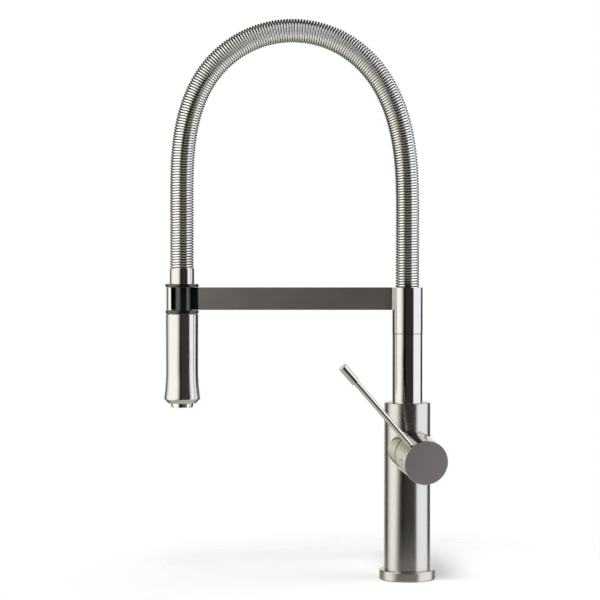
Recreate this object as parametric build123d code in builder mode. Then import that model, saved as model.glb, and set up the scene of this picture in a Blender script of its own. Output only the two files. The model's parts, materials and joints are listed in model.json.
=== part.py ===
from build123d import *

import os
from math import asin, atan2, cos, pi, radians, sin, sqrt, tan

import numpy as np

# Spring-neck kitchen faucet with a docked spray head. Millimetres, +Z up, the
# origin at the centre of the face that stands on the deck. The arm points
# along -X, and the mixer barrel looks along -Y, turned a little towards +X and
# dipped a little below level.

# ---------------------------------------------------------------- clearances
snug = 0.05  # radial, between pieces that are fixed together
running = 0.05  # radial, between a shaft and the bore it turns in
film = 0.1  # between flat faces that slide on each other
free = 0.3  # between pieces that only pass each other
beyond = 1.0  # how far a cut starts outside what it cuts
match = 0.01  # how near a corner or a rim is to the size it is found by

# ---------------------------------------------------------------- the column
flange_d = 61.0
flange_h = 10.8
flange_edge = 1.6  # rounding of the flange's rim
register_h = 7.0  # the flange's turned step that centres the body
seal_inset = 3.2  # of the deck seal's middle from the flange's rim
seal_w = 2.4
seal_h = 2.0
body_d = 50.0
body_wall = 3.0
body_top_z = 190.9  # heights called _z count from the deck
body_lid = 3.9  # thickness of the body's closed top
body_edge = 0.5
post_d = 32.8
post_wall = 2.0
post_h = 74.0  # of the post above the body
post_sink = 7.9  # of the post in the body

# supply: two copper tubes from the deck to the waterway
inlet_offset = 9.5  # of each inlet to the side of the column's axis
inlet_back = 4.0  # of both inlets behind it
inlet_r = 4.5  # minor radius of an M10 fine thread
inlet_depth = 11.0
stud_offset = 13.5
stud_r = 3.4  # minor radius of an M8 thread
stud_depth = 12.0
tube_r = 5.0
tube_bore_r = 4.0
tube_socket = 6.0  # how far a tube goes into what holds it

# brass waterway inside the body
core_drop = 29.1  # of its lower end under the barrel's axis
core_spigot_h = 14.0  # reaches up into the post
passage_r = 3.0

# ---------------------------------------------------------------- the swivel
spigot_plug_h = 22.0  # part of the outlet spigot inside the post
journal_r = 11.0
neck_r = 7.0  # top of the spigot, which the hose nut turns on
neck_h = 9.0
waterway_r = 4.0
slip_ring_t = 0.6
clip_drop = 2.4  # of the clip's lower face under the journal's top
clip_t = 1.0
clip_groove = 1.0  # depth of the clip's groove
clip_reach = 2.0  # how far the clip stands out of the journal
clip_mouth = 6.0
oring_d = 1.8
neck_oring_rise = (3.4, 6.6)  # above the journal's top
oring_play = 0.02

# ---------------------------------------------------------------- the arm
reach = 243.0  # from the post's axis to the spray head's axis
sleeve_d = 33.3
sleeve_wall = 3.05
sleeve_h = 49.3  # the sleeve, the bar and the clasp end flush at the top
arm_h = 24.1
arm_t = 11.0
arm_fillet = 2.0  # where the bar runs into the sleeve and the clasp
bush_h = 12.0
bush_gap = 0.5  # between the lower bush and the slip ring
clasp_r = 17.2
clasp_wall = 2.3
clasp_mouth = 11.0  # from the head's axis to the clasp's free end
clasp_end_edge = 0.3
clasp_bevel = 1.3  # of the bar's front corner at the clasp
pad_reach = 16.6  # from the head's axis to the end of the liner's front pad
pad_depth = 2.9  # of the pad's back behind the bar's front face
liner_play = 0.5  # between the clasp's liner and the spool's core

# ---------------------------------------------------------------- hose, spring
hose_r = 6.6
hose_bore_r = 4.5
hose_sink = 4.9  # of the hose's start in the arm's sleeve
nut_r = 10.5
nut_floor = 4.0  # between the spigot's neck and the hose
nut_gap = 1.4  # between the journal and the nut
seat_lip = 1.0  # of the spring seat over the hose nut
seat_h = 9.0
spring_r = 12.85  # outside
wire_d = 5.4
spring_turns = 96
end_climb = 6.5  # height of the quarter turn that leads into the coil
leg_h = 73.1  # of the straight spring neck above the arm
ease_in = radians(48.5)  # turn made while the bend tightens
ease_out = radians(38.0)  # turn made while it opens again

# ---------------------------------------------------------------- dock spool
spool_core_r = 10.9
spool_top_r = 18.2
spool_top_t = 3.6
spool_low_r = 18.0
spool_low_t = 3.8
spool_edge = 0.8
ferrule_lip = 0.5  # of the ferrule round the spring
ferrule_h = 16.5
ferrule_edge = 0.6
fitting_collar_h = 6.0
hose_plug = 15.8  # of the hose in the spool
stem_r = 5.0
stem_bore_r = 3.0
stem_flange_r = 7.0
stem_flange_h = 4.0
stem_drop = 25.1  # of the stem's lower end under the head's top

# ---------------------------------------------------------------- spray head
head_top_r = 17.7
waist_r = 17.45
waist_rise = 35.8  # of the waist above the head's lower end
bell_r = 19.85
bell_rise = 4.6
bell_edge = 1.2
bell_under_r = 15.6  # inner edge of the bevel under the bell
head_len = 96.2
head_wall = 2.05  # at the waist
head_roof = 4.0
roof_play = 1.2  # round the stem in the roof
head_lip_h = 8.8  # of the lip that carries the nozzle
head_edge = 0.7
nozzle_r = 12.6
nozzle_tip_r = 11.5
nozzle_drop = 4.7  # of the nozzle under the head
nozzle_flange_h = 5.0
nozzle_bore_r = 10.6
face_t = 3.0
face_recess = 1.0
jet_r = 0.7
jet_rings = (0.0, 3.1, 6.0, 8.6)  # radii
jet_counts = (1, 6, 12, 18)  # on each ring
former_h = 6.0  # flow straightener above the spray face
former_hole_r = 1.4
former_rings = (0.0, 4.2, 7.9)
former_hole_counts = (1, 6, 12)
washer_h = 2.0
valve_r = 6.0
valve_h = 12.0
valve_rise = 32.0  # above the channel's lower end

# ---------------------------------------------------------------- mixer barrel
barrel_z = 142.3  # where the barrel's axis crosses the column's
barrel_turn = 13.0  # degrees from -Y towards +X
barrel_dip = 7.5  # degrees below level
barrel_r = 23.7
collar_end = 34.6  # distances along the barrel start at the column's axis
collar_wall = 3.2
seam = 2.2
cap_len = 36.9
cap_wall = 3.2
cap_edge = 0.5
cap_solid = 16.0  # thickness of the cap behind its face
lever_angle = 132.1  # of the lever round the barrel, counted from level right
tilt_range = 18.0
tilt_margin = 1.5  # degrees that the cap's slanted rim keeps in hand

# cartridge
boss_play = 0.4  # between the boss and the collar
cartridge_r = 17.5
chamber_floor = 4.0
cartridge_wall = 2.0
cartridge_lid = 2.6
base_lift = 1.0  # the port seals stand out by this
base_t = 3.2
port_r = 3.0
port_ring_r = 8.0
port_seal_w = 1.5
port_seal_sink = 0.5
disc_t = 4.0
slide_disc_r = 9.8
slide_disc_t = 3.6
mixing_pocket = (10.0, 7.0, 2.0)
carrier_t = 4.4
carrier_pocket = (8.1, 8.6)  # along the lever, across it
carrier_floor = 1.2
driver_gap = 0.2
driver_neck_r = 9.6
driver_rise = 5.6  # above the pivot
pivot_r = 1.5
stem_w = 7.0  # of the cartridge stem, along the lever
stem_t = 8.0  # across it
key_float = 0.7  # of the cartridge stem above the floor of its pocket
key_set_back = 9.5  # of the cartridge stem's end behind the face
slot_play = 0.7
slot_flare = 2.0  # of the slot at the driver's top
nut_sink = 0.7  # of the cartridge nut in the collar
nut_t = 3.7
nut_bore_r = 10.8
dome_play = 0.8  # between the dome and the cap
dome_wall = 1.4
dome_hole_r = 11.2

# lever and marks
lever_d = 6.2
lever_tip_d = 8.9
lever_tip_len = 22.8
lever_len = 115.0  # outside the cap
lever_root = 10.0  # of the lever's end from the barrel's axis
lever_set_back = 5.5  # of the lever's axis behind the face
lever_chamfer = 0.4
screw_r = 2.5
screw_len = 12.0
screw_hex = 2.5  # across flats
screw_hex_depth = 3.0
screw_set_back = 12.5
mark_r = 1.4
mark_depth = 0.6
mark_spread = 45.0  # degrees from the lever
mark_set_back = 12.5

# ---------------------------------------------------------------- worked out
flange_r = flange_d / 2
body_r = body_d / 2
body_bore_r = body_r - body_wall
seal_r = flange_r - seal_inset
post_top_z = body_top_z + post_h
core_shoulder_z = body_top_z - post_sink
core_bottom_z = barrel_z - core_drop
post_r = post_d / 2
post_bore_r = post_r - post_wall
sleeve_r = sleeve_d / 2
sleeve_bore_r = sleeve_r - sleeve_wall
sleeve_bottom_z = post_top_z + slip_ring_t + film
arm_top_z = sleeve_bottom_z + sleeve_h
arm_bottom_z = arm_top_z - arm_h
hose_start_z = arm_top_z - hose_sink
neck_top_z = hose_start_z - nut_floor
journal_top_z = neck_top_z - neck_h
clip_z = journal_top_z - clip_drop
neck_oring_z = [journal_top_z + z for z in neck_oring_rise]
arch_start_z = arm_top_z + leg_h
clasp_bore_r = clasp_r - clasp_wall
liner_bore_r = spool_core_r + liner_play
wire_r = wire_d / 2
coil_r = spring_r - wire_r
spool_groove_bottom_z = arm_bottom_z - free
spool_groove_top_z = arm_top_z + free
spool_top_z = spool_groove_top_z + spool_top_t
spool_bottom_z = spool_groove_bottom_z - spool_low_t
ferrule_r = spring_r + ferrule_lip
ferrule_top_z = spool_top_z + ferrule_h
hose_end_z = spool_top_z - hose_plug
head_top_z = spool_bottom_z - free
head_bottom_z = head_top_z - head_len
waist_z = head_bottom_z + waist_rise
bell_z = head_bottom_z + bell_rise
head_lip_z = head_bottom_z + head_lip_h
head_bore_r = waist_r - head_wall
nozzle_bottom_z = head_bottom_z - nozzle_drop
stem_bottom_z = head_top_z - stem_drop
boss_r = barrel_r - collar_wall - boss_play
pivot = collar_end + seam / 2  # the handle tilts in the plane of the seam
cap_start = collar_end + seam
face_end = cap_start + cap_len
cartridge_end = collar_end - nut_sink - nut_t
dome_r = barrel_r - cap_wall - dome_play
stem_flange_top_z = stem_bottom_z + stem_flange_h

across = Vector(cos(radians(barrel_turn)), sin(radians(barrel_turn)), 0)
ahead = Vector(sin(radians(barrel_turn)), -cos(radians(barrel_turn)), 0)
barrel_dir = ahead * cos(radians(barrel_dip)) - Vector(0, 0, 1) * sin(radians(barrel_dip))
barrel_up = barrel_dir.cross(across)
lever_dir = across * cos(radians(lever_angle)) + barrel_up * sin(radians(lever_angle))
tilt_dir = lever_dir.cross(barrel_dir)
barrel_axis = Axis((0, 0, barrel_z), barrel_dir)
barrel_plane = Plane((0, 0, barrel_z), x_dir=lever_dir, z_dir=barrel_dir)
barrel_section = Plane((0, 0, barrel_z), x_dir=lever_dir, z_dir=tilt_dir)  # local y is along the barrel
tilt_plane = Plane(barrel_plane.from_local_coords((0, 0, pivot)), x_dir=lever_dir, z_dir=tilt_dir)
port_plane = Plane((0, 0, barrel_z), x_dir=across, z_dir=barrel_dir)
ports = [Location((port_ring_r * cos(radians(a)), port_ring_r * sin(radians(a)))) for a in (90, 210, 330)]
inlets = [(inlet_offset, inlet_back), (-inlet_offset, inlet_back)]
head_plane = Plane((-reach, 0, 0))
head_axis = Axis((-reach, 0, 0), (0, 0, 1))
head_section = Plane((-reach, 0, 0), x_dir=(1, 0, 0), z_dir=(0, -1, 0))

os.makedirs("parts", exist_ok=True)


# ---------------------------------------------------------------- hose route
# The hose rises from the sleeve, bends over and comes down into the dock. Its
# bend tightens evenly from straight, holds one radius over the top, and opens
# evenly to straight again, so the heading is a parabola, a line, a parabola.
def unit_heading(s):
    hold = pi - ease_in - ease_out
    if s < 2 * ease_in:
        return s * s / (4 * ease_in)
    if s < 2 * ease_in + hold:
        return ease_in + s - 2 * ease_in
    left = 2 * ease_in + hold + 2 * ease_out - s
    return pi - left * left / (4 * ease_out)


unit_length = pi + ease_in + ease_out
arch_stations = 600
unit_step = unit_length / arch_stations
unit_points = [(0.0, 0.0)]
for i in range(arch_stations):
    middle_heading = unit_heading((i + 0.5) * unit_step)
    last_x, last_z = unit_points[-1]
    unit_points.append((last_x - sin(middle_heading) * unit_step, last_z + cos(middle_heading) * unit_step))
arch_r = reach / -unit_points[-1][0]
arch_length = unit_length * arch_r
arch_end_z = arch_start_z + unit_points[-1][1] * arch_r


def heading(s):
    return unit_heading(min(max(s / arch_r, 0), unit_length))


def bend(s):
    """Curvature of the route at the distance s from the start of the arch."""
    t = s / arch_r
    if t < 0 or t > unit_length:
        return 0
    return min(t / (2 * ease_in), 1, (unit_length - t) / (2 * ease_out)) / arch_r


def centre(s):
    """Point of the route at the distance s from the start of the arch."""
    if s <= 0:
        return Vector(0, 0, arch_start_z + s)
    if s >= arch_length:
        return Vector(-reach, 0, arch_end_z - (s - arch_length))
    station = int(s / arch_r / unit_step)
    rest = s / arch_r - station * unit_step
    turn = unit_heading(station * unit_step + rest / 2)
    x, z = unit_points[station]
    x -= sin(turn) * rest
    z += cos(turn) * rest
    return Vector(x * arch_r, 0, arch_start_z + z * arch_r)


def biarc(start, start_dir, end, end_dir):
    """Two arcs that leave start along start_dir, meet smoothly and reach end along end_dir."""
    chord = end - start
    both = start_dir + end_dir
    spread = 2 - 2 * start_dir.dot(end_dir)
    lean = chord.dot(both)
    arm = (sqrt(lean * lean + spread * chord.dot(chord)) - lean) / spread
    first_corner = start + start_dir * arm
    second_corner = end - end_dir * arm
    join = (first_corner + second_corner) * 0.5
    for a, corner, b in ((start, first_corner, join), (join, second_corner, end)):
        foot = (a + b) * 0.5
        half_cos = (foot - a).length / (corner - a).length
        ThreePointArc(a, foot + (corner - foot) * (half_cos / (1 + half_cos)), b)


# ================================================================ column
with BuildPart() as base_flange:
    with BuildSketch():
        Circle(flange_r)
    extrude(amount=flange_h)
    with BuildSketch(Plane.XY.offset(flange_h)):
        Circle(body_bore_r - snug)
    extrude(amount=register_h)
    rim_edges = base_flange.edges().filter_by(GeomType.CIRCLE)
    fillet(rim_edges.filter_by(lambda e: abs(e.radius - flange_r) < match), flange_edge)
    with BuildSketch():
        Circle(seal_r + seal_w / 2)
        Circle(seal_r - seal_w / 2, mode=Mode.SUBTRACT)
    extrude(amount=seal_h, mode=Mode.SUBTRACT)
    with BuildSketch():
        with Locations(*inlets):
            Circle(inlet_r)
    extrude(amount=inlet_depth, mode=Mode.SUBTRACT)
    with BuildSketch(Plane.XY.offset(flange_h + register_h)):
        with Locations(*inlets):
            Circle(tube_r + snug)
    extrude(amount=-(flange_h + register_h - inlet_depth), mode=Mode.SUBTRACT)
    with BuildSketch():
        with Locations((0, stud_offset), (0, -stud_offset)):
            Circle(stud_r)
    extrude(amount=stud_depth, mode=Mode.SUBTRACT)
base_flange.part.label = "base_flange"
export_step(base_flange.part, "parts/base_flange.step")

with BuildPart() as base_seal:
    with BuildSketch():
        Circle(seal_r + seal_w / 2 - snug)
        Circle(seal_r - seal_w / 2 + snug, mode=Mode.SUBTRACT)
    extrude(amount=seal_h)
base_seal.part.label = "base_seal"
export_step(base_seal.part, "parts/base_seal.step")

with BuildPart() as body_shell:
    with BuildSketch(Plane.XY.offset(flange_h)):
        Circle(body_r)
    extrude(amount=body_top_z - flange_h)
    chamfer(body_shell.faces().sort_by(Axis.Z)[-1].edges(), body_edge)
    with BuildSketch(Plane.XY.offset(flange_h)):
        Circle(body_bore_r)
    extrude(amount=body_top_z - body_lid - flange_h, mode=Mode.SUBTRACT)
    with BuildSketch(Plane.XY.offset(body_top_z)):
        Circle(post_r + snug)
    extrude(amount=-body_lid, mode=Mode.SUBTRACT)
    with BuildSketch(barrel_plane):
        Circle(boss_r + free)
    extrude(amount=collar_end, mode=Mode.SUBTRACT)
body_shell.part.label = "body_shell"
export_step(body_shell.part, "parts/body_shell.step")

with BuildPart() as waterway_core:
    with BuildSketch(Plane.XY.offset(core_bottom_z)):
        Circle(body_bore_r - snug)
    extrude(amount=core_shoulder_z - core_bottom_z)
    with BuildSketch(Plane.XY.offset(core_shoulder_z)):
        Circle(post_bore_r - snug)
    extrude(amount=core_spigot_h)
    with BuildSketch(barrel_plane):
        Circle(boss_r)
    extrude(amount=cartridge_end)
    with BuildSketch(barrel_plane.offset(chamber_floor)):
        Circle(cartridge_r)
    extrude(amount=cartridge_end - chamber_floor, mode=Mode.SUBTRACT)
    with BuildSketch(Plane.XY.offset(core_bottom_z)):
        with Locations(*inlets):
            Circle(tube_r + snug)
    extrude(amount=tube_socket, mode=Mode.SUBTRACT)
    # each inlet rises to its port, and the outlet rises from its port to the post
    with BuildSketch(Plane.XY.offset(core_bottom_z)):
        with Locations(*inlets):
            Circle(passage_r)
    extrude(amount=barrel_z - port_ring_r / 2 - core_bottom_z, mode=Mode.SUBTRACT)
    with BuildSketch(port_plane.offset(-passage_r - inlet_back)):
        with Locations(*ports[1:]):
            Circle(passage_r)
    extrude(amount=chamber_floor + passage_r + inlet_back, mode=Mode.SUBTRACT)
    with BuildSketch(port_plane.offset(-passage_r)):
        with Locations(ports[0]):
            Circle(passage_r)
    extrude(amount=chamber_floor + passage_r, mode=Mode.SUBTRACT)
    with BuildSketch(Plane.XY.offset(barrel_z + port_ring_r)):
        Circle(passage_r)
    extrude(amount=core_shoulder_z + core_spigot_h - barrel_z - port_ring_r, mode=Mode.SUBTRACT)
    with BuildSketch(Plane.XY.offset(core_shoulder_z + core_spigot_h)):
        Circle(tube_r + snug)
    extrude(amount=-tube_socket, mode=Mode.SUBTRACT)
waterway_core.part.label = "waterway_core"
export_step(waterway_core.part, "parts/waterway_core.step")

with BuildPart() as hot_supply_tube:
    with BuildSketch(Plane((-inlet_offset, inlet_back, inlet_depth))):
        Circle(tube_r)
        Circle(tube_bore_r, mode=Mode.SUBTRACT)
    extrude(amount=core_bottom_z + tube_socket - inlet_depth)
hot_supply_tube.part.label = "hot_supply_tube"
export_step(hot_supply_tube.part, "parts/hot_supply_tube.step")

with BuildPart() as cold_supply_tube:
    with BuildSketch(Plane((inlet_offset, inlet_back, inlet_depth))):
        Circle(tube_r)
        Circle(tube_bore_r, mode=Mode.SUBTRACT)
    extrude(amount=core_bottom_z + tube_socket - inlet_depth)
cold_supply_tube.part.label = "cold_supply_tube"
export_step(cold_supply_tube.part, "parts/cold_supply_tube.step")

with BuildPart() as post_tube:
    with BuildSketch(Plane.XY.offset(core_shoulder_z)):
        Circle(post_r)
        Circle(post_bore_r, mode=Mode.SUBTRACT)
    extrude(amount=post_top_z - core_shoulder_z)
post_tube.part.label = "post_tube"
export_step(post_tube.part, "parts/post_tube.step")

riser_bottom_z = core_shoulder_z + core_spigot_h - tube_socket
riser_top_z = post_top_z - spigot_plug_h + tube_socket
with BuildPart() as riser_pipe:
    with BuildSketch(Plane.XY.offset(riser_bottom_z)):
        Circle(tube_r)
        Circle(tube_bore_r, mode=Mode.SUBTRACT)
    extrude(amount=riser_top_z - riser_bottom_z)
riser_pipe.part.label = "riser_pipe"
export_step(riser_pipe.part, "parts/riser_pipe.step")

with BuildPart() as outlet_spigot:
    with BuildSketch(Plane.XY.offset(post_top_z)):
        Circle(post_bore_r - snug)
    extrude(amount=-spigot_plug_h)
    with BuildSketch(Plane.XY.offset(post_top_z)):
        Circle(journal_r)
    extrude(amount=journal_top_z - post_top_z)
    with BuildSketch(Plane.XY.offset(journal_top_z)):
        Circle(neck_r)
    extrude(amount=neck_top_z - journal_top_z)
    with BuildSketch(Plane.XY.offset(clip_z)):
        Circle(journal_r + beyond)
        Circle(journal_r - clip_groove, mode=Mode.SUBTRACT)
    extrude(amount=clip_t + film, mode=Mode.SUBTRACT)
    for ring_z in neck_oring_z:
        with BuildSketch(Plane.XY.offset(ring_z - oring_d / 2 - film)):
            Circle(neck_r + beyond)
            Circle(neck_r - oring_d, mode=Mode.SUBTRACT)
        extrude(amount=oring_d + 2 * film, mode=Mode.SUBTRACT)
    with BuildSketch(Plane.XY.offset(post_top_z - spigot_plug_h)):
        Circle(tube_r + snug)
    extrude(amount=tube_socket, mode=Mode.SUBTRACT)
    with BuildSketch(Plane.XY.offset(post_top_z - spigot_plug_h)):
        Circle(waterway_r)
    extrude(amount=neck_top_z - post_top_z + spigot_plug_h, mode=Mode.SUBTRACT)
outlet_spigot.part.label = "outlet_spigot"
export_step(outlet_spigot.part, "parts/outlet_spigot.step")

with BuildPart() as slip_ring:
    with BuildSketch(Plane.XY.offset(post_top_z)):
        Circle(post_r - film)
        Circle(journal_r + snug, mode=Mode.SUBTRACT)
    extrude(amount=slip_ring_t)
slip_ring.part.label = "slip_ring"
export_step(slip_ring.part, "parts/slip_ring.step")

with BuildPart() as spigot_clip:
    with BuildSketch(Plane.XY.offset(clip_z)):
        Circle(journal_r + clip_reach)
        Circle(journal_r - clip_groove + snug, mode=Mode.SUBTRACT)
        with Locations((0, journal_r)):
            Rectangle(clip_mouth, journal_r, mode=Mode.SUBTRACT)
    extrude(amount=clip_t)
spigot_clip.part.label = "spigot_clip"
export_step(spigot_clip.part, "parts/spigot_clip.step")

with BuildPart() as spigot_orings:
    for ring_z in neck_oring_z:
        with BuildSketch(Plane.XZ):
            with Locations((neck_r - oring_d / 2, ring_z)):
                Circle(oring_d / 2 - oring_play)
        revolve(axis=Axis.Z)
spigot_orings.part.label = "spigot_orings"
export_step(spigot_orings.part, "parts/spigot_orings.step")

# ================================================================ mixer barrel
with BuildPart() as valve_collar:
    with BuildSketch(barrel_plane):
        Circle(barrel_r)
        Circle(barrel_r - collar_wall, mode=Mode.SUBTRACT)
    extrude(amount=collar_end)
    with BuildSketch(Plane.XY.offset(barrel_z - body_d)):
        Circle(body_r)
    extrude(amount=2 * body_d, mode=Mode.SUBTRACT)
valve_collar.part.label = "valve_collar"
export_step(valve_collar.part, "parts/valve_collar.step")

base_start = chamber_floor + base_lift
disc_start = base_start + base_t
slide_start = disc_start + disc_t + film
carrier_start = slide_start + slide_disc_t
driver_start = carrier_start + carrier_t + driver_gap
driver_top = pivot + driver_rise
stem_bottom = carrier_start + carrier_floor + key_float
stem_top = face_end - key_set_back

with BuildPart() as cartridge_base:
    with BuildSketch(port_plane.offset(base_start)):
        Circle(cartridge_r - snug)
        with Locations(*ports):
            Circle(port_r, mode=Mode.SUBTRACT)
    extrude(amount=base_t)
    with BuildSketch(port_plane.offset(base_start)):
        with Locations(*ports):
            Circle(port_r + port_seal_w + snug)
    extrude(amount=port_seal_sink, mode=Mode.SUBTRACT)
cartridge_base.part.label = "cartridge_base"
export_step(cartridge_base.part, "parts/cartridge_base.step")

with BuildPart() as cartridge_seals:
    with BuildSketch(port_plane.offset(chamber_floor)):
        with Locations(*ports):
            Circle(port_r + port_seal_w)
            Circle(port_r, mode=Mode.SUBTRACT)
    extrude(amount=base_lift + port_seal_sink)
cartridge_seals.part.label = "cartridge_seals"
export_step(cartridge_seals.part, "parts/cartridge_seals.step")

with BuildPart() as fixed_disc:
    with BuildSketch(port_plane.offset(disc_start)):
        Circle(cartridge_r - cartridge_wall - snug)
        with Locations(*ports):
            Circle(port_r, mode=Mode.SUBTRACT)
    extrude(amount=disc_t)
fixed_disc.part.label = "fixed_disc"
export_step(fixed_disc.part, "parts/fixed_disc.step")

with BuildPart() as cartridge_body:
    with BuildSketch(barrel_plane.offset(disc_start)):
        Circle(cartridge_r - snug)
        Circle(cartridge_r - cartridge_wall, mode=Mode.SUBTRACT)
    extrude(amount=cartridge_end - disc_start)
    with BuildSketch(barrel_plane.offset(cartridge_end)):
        Circle(cartridge_r - snug)
        Circle(driver_neck_r + running, mode=Mode.SUBTRACT)
    extrude(amount=-cartridge_lid)
cartridge_body.part.label = "cartridge_body"
export_step(cartridge_body.part, "parts/cartridge_body.step")

with BuildPart() as sliding_disc:
    with BuildSketch(barrel_plane.offset(slide_start)):
        Circle(slide_disc_r)
    extrude(amount=slide_disc_t)
    with BuildSketch(barrel_plane.offset(slide_start)):
        Rectangle(mixing_pocket[0], mixing_pocket[1])
    extrude(amount=mixing_pocket[2], mode=Mode.SUBTRACT)
sliding_disc.part.label = "sliding_disc"
export_step(sliding_disc.part, "parts/sliding_disc.step")

with BuildPart() as disc_carrier:
    with BuildSketch(barrel_plane.offset(carrier_start)):
        Circle(slide_disc_r)
    extrude(amount=carrier_t)
    with BuildSketch(barrel_plane.offset(carrier_start + carrier_floor)):
        Rectangle(carrier_pocket[0], carrier_pocket[1])
    extrude(amount=carrier_t - carrier_floor, mode=Mode.SUBTRACT)
disc_carrier.part.label = "disc_carrier"
export_step(disc_carrier.part, "parts/disc_carrier.step")

driver_shoulder = cartridge_end - cartridge_lid - film
slot_reach = (pivot - stem_bottom) * tan(radians(tilt_range)) + stem_w / 2 + 2 * slot_play
with BuildPart() as cartridge_driver:
    with BuildSketch(barrel_plane.offset(driver_start)):
        Circle(cartridge_r - cartridge_wall - running)
    extrude(amount=driver_shoulder - driver_start)
    with BuildSketch(barrel_plane.offset(driver_shoulder)):
        Circle(driver_neck_r)
    extrude(amount=driver_top - driver_shoulder)
    # the slot widens below the pivot on the lever's side, where the stem swings to
    with BuildSketch(barrel_section):
        with BuildLine():
            Polyline(
                (-stem_w / 2 - slot_play - slot_flare, driver_top),
                (-stem_w / 2 - slot_play, pivot),
                (-stem_w / 2 - slot_play, driver_start),
                (slot_reach, driver_start),
                (stem_w / 2 + slot_play, pivot),
                (stem_w / 2 + slot_play, driver_top),
                close=True,
            )
        make_face()
    extrude(amount=stem_t / 2 + film, both=True, mode=Mode.SUBTRACT)
    with BuildSketch(tilt_plane):
        Circle(pivot_r)
    extrude(amount=cartridge_r, both=True, mode=Mode.SUBTRACT)
cartridge_driver.part.label = "cartridge_driver"
export_step(cartridge_driver.part, "parts/cartridge_driver.step")

with BuildPart() as pivot_pin:
    with BuildSketch(tilt_plane):
        Circle(pivot_r)
    extrude(amount=sqrt(driver_neck_r**2 - pivot_r**2), both=True)
pivot_pin.part.label = "pivot_pin"
export_step(pivot_pin.part, "parts/pivot_pin.step")

with BuildPart() as cartridge_stem:
    with BuildSketch(barrel_plane.offset(stem_bottom)):
        Rectangle(stem_w, stem_t)
    extrude(amount=stem_top - stem_bottom)
    with BuildSketch(tilt_plane):
        Circle(pivot_r + running)
    extrude(amount=stem_t, both=True, mode=Mode.SUBTRACT)
cartridge_stem.part.label = "cartridge_stem"
export_step(cartridge_stem.part, "parts/cartridge_stem.step")

with BuildPart() as cartridge_nut:
    with BuildSketch(barrel_plane.offset(cartridge_end)):
        Circle(barrel_r - collar_wall - snug)
        Circle(nut_bore_r, mode=Mode.SUBTRACT)
    extrude(amount=nut_t)
cartridge_nut.part.label = "cartridge_nut"
export_step(cartridge_nut.part, "parts/cartridge_nut.step")

# domed cover round the pivot, which the hollow cap tilts over
dome_base = cartridge_end + nut_t
dome_rise = sqrt(dome_r**2 - dome_hole_r**2)
dome_inner_r = dome_r - dome_wall
dome_inner_rise = sqrt(dome_inner_r**2 - dome_hole_r**2)
dome_angle = atan2(dome_rise, dome_hole_r) / 2
dome_inner_angle = atan2(dome_inner_rise, dome_hole_r) / 2
with BuildPart() as cartridge_dome:
    with BuildSketch(barrel_section):
        with BuildLine():
            Line((dome_inner_r, dome_base), (dome_r, dome_base))
            Line((dome_r, dome_base), (dome_r, pivot))
            ThreePointArc(
                (dome_r, pivot),
                (dome_r * cos(dome_angle), pivot + dome_r * sin(dome_angle)),
                (dome_hole_r, pivot + dome_rise),
            )
            Line((dome_hole_r, pivot + dome_rise), (dome_hole_r, pivot + dome_inner_rise))
            ThreePointArc(
                (dome_hole_r, pivot + dome_inner_rise),
                (dome_inner_r * cos(dome_inner_angle), pivot + dome_inner_r * sin(dome_inner_angle)),
                (dome_inner_r, pivot),
            )
            Line((dome_inner_r, pivot), (dome_inner_r, dome_base))
        make_face()
    revolve(axis=barrel_axis)
cartridge_dome.part.label = "cartridge_dome"
export_step(cartridge_dome.part, "parts/cartridge_dome.step")

# ================================================================ handle
cap_cavity_end = face_end - cap_solid
lever_at = face_end - lever_set_back
screw_at = face_end - screw_set_back
mark_at = face_end - mark_set_back
lever_hole_plane = Plane(barrel_plane.from_local_coords((0, 0, lever_at)), x_dir=barrel_dir, z_dir=lever_dir)
screw_plane = Plane(barrel_plane.from_local_coords((0, 0, screw_at)), x_dir=barrel_dir, z_dir=-lever_dir)


def mark_plane(side):
    """Plane of one mark, square to the cap, side times mark_spread from the lever."""
    turn = radians(side * mark_spread)
    out = lever_dir * cos(turn) + barrel_dir.cross(lever_dir) * sin(turn)
    return Plane(barrel_plane.from_local_coords((0, 0, mark_at)), x_dir=barrel_dir, z_dir=out)


with BuildPart() as handle_cap:
    with BuildSketch(barrel_plane.offset(cap_start)):
        Circle(barrel_r)
    extrude(amount=face_end - cap_start)
    face_rim = handle_cap.edges().filter_by(GeomType.CIRCLE).sort_by(barrel_axis)[-1]
    chamfer(face_rim, cap_edge)
    with BuildSketch(barrel_plane.offset(cap_start)):
        Circle(barrel_r - cap_wall)
    extrude(amount=cap_cavity_end - cap_start, mode=Mode.SUBTRACT)
    # the rim opposite the lever slants away from the seam, so that the cap can tilt
    slant = tan(radians(tilt_range + tilt_margin))
    far = barrel_r + beyond
    with BuildSketch(barrel_section):
        with BuildLine():
            Polyline(
                (0, cap_start - beyond),
                (0, cap_start),
                (-far, cap_start + far * slant),
                (-far, cap_start - beyond),
                close=True,
            )
        make_face()
    extrude(amount=far, both=True, mode=Mode.SUBTRACT)
    with BuildSketch(barrel_plane.offset(cap_cavity_end)):
        Rectangle(stem_w + 2 * snug, stem_t + 2 * snug)
    extrude(amount=stem_top + film - cap_cavity_end, mode=Mode.SUBTRACT)
    with BuildSketch(lever_hole_plane.offset(lever_root)):
        Circle(lever_d / 2)
    extrude(amount=barrel_r, mode=Mode.SUBTRACT)
    with BuildSketch(screw_plane):
        Circle(screw_r + snug)
    extrude(amount=far, mode=Mode.SUBTRACT)
    for side in (1, -1):
        with BuildSketch(mark_plane(side).offset(barrel_r - mark_depth)):
            Circle(mark_r)
        extrude(amount=mark_depth + beyond, mode=Mode.SUBTRACT)
handle_cap.part.label = "handle_cap"
export_step(handle_cap.part, "parts/handle_cap.step")

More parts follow.
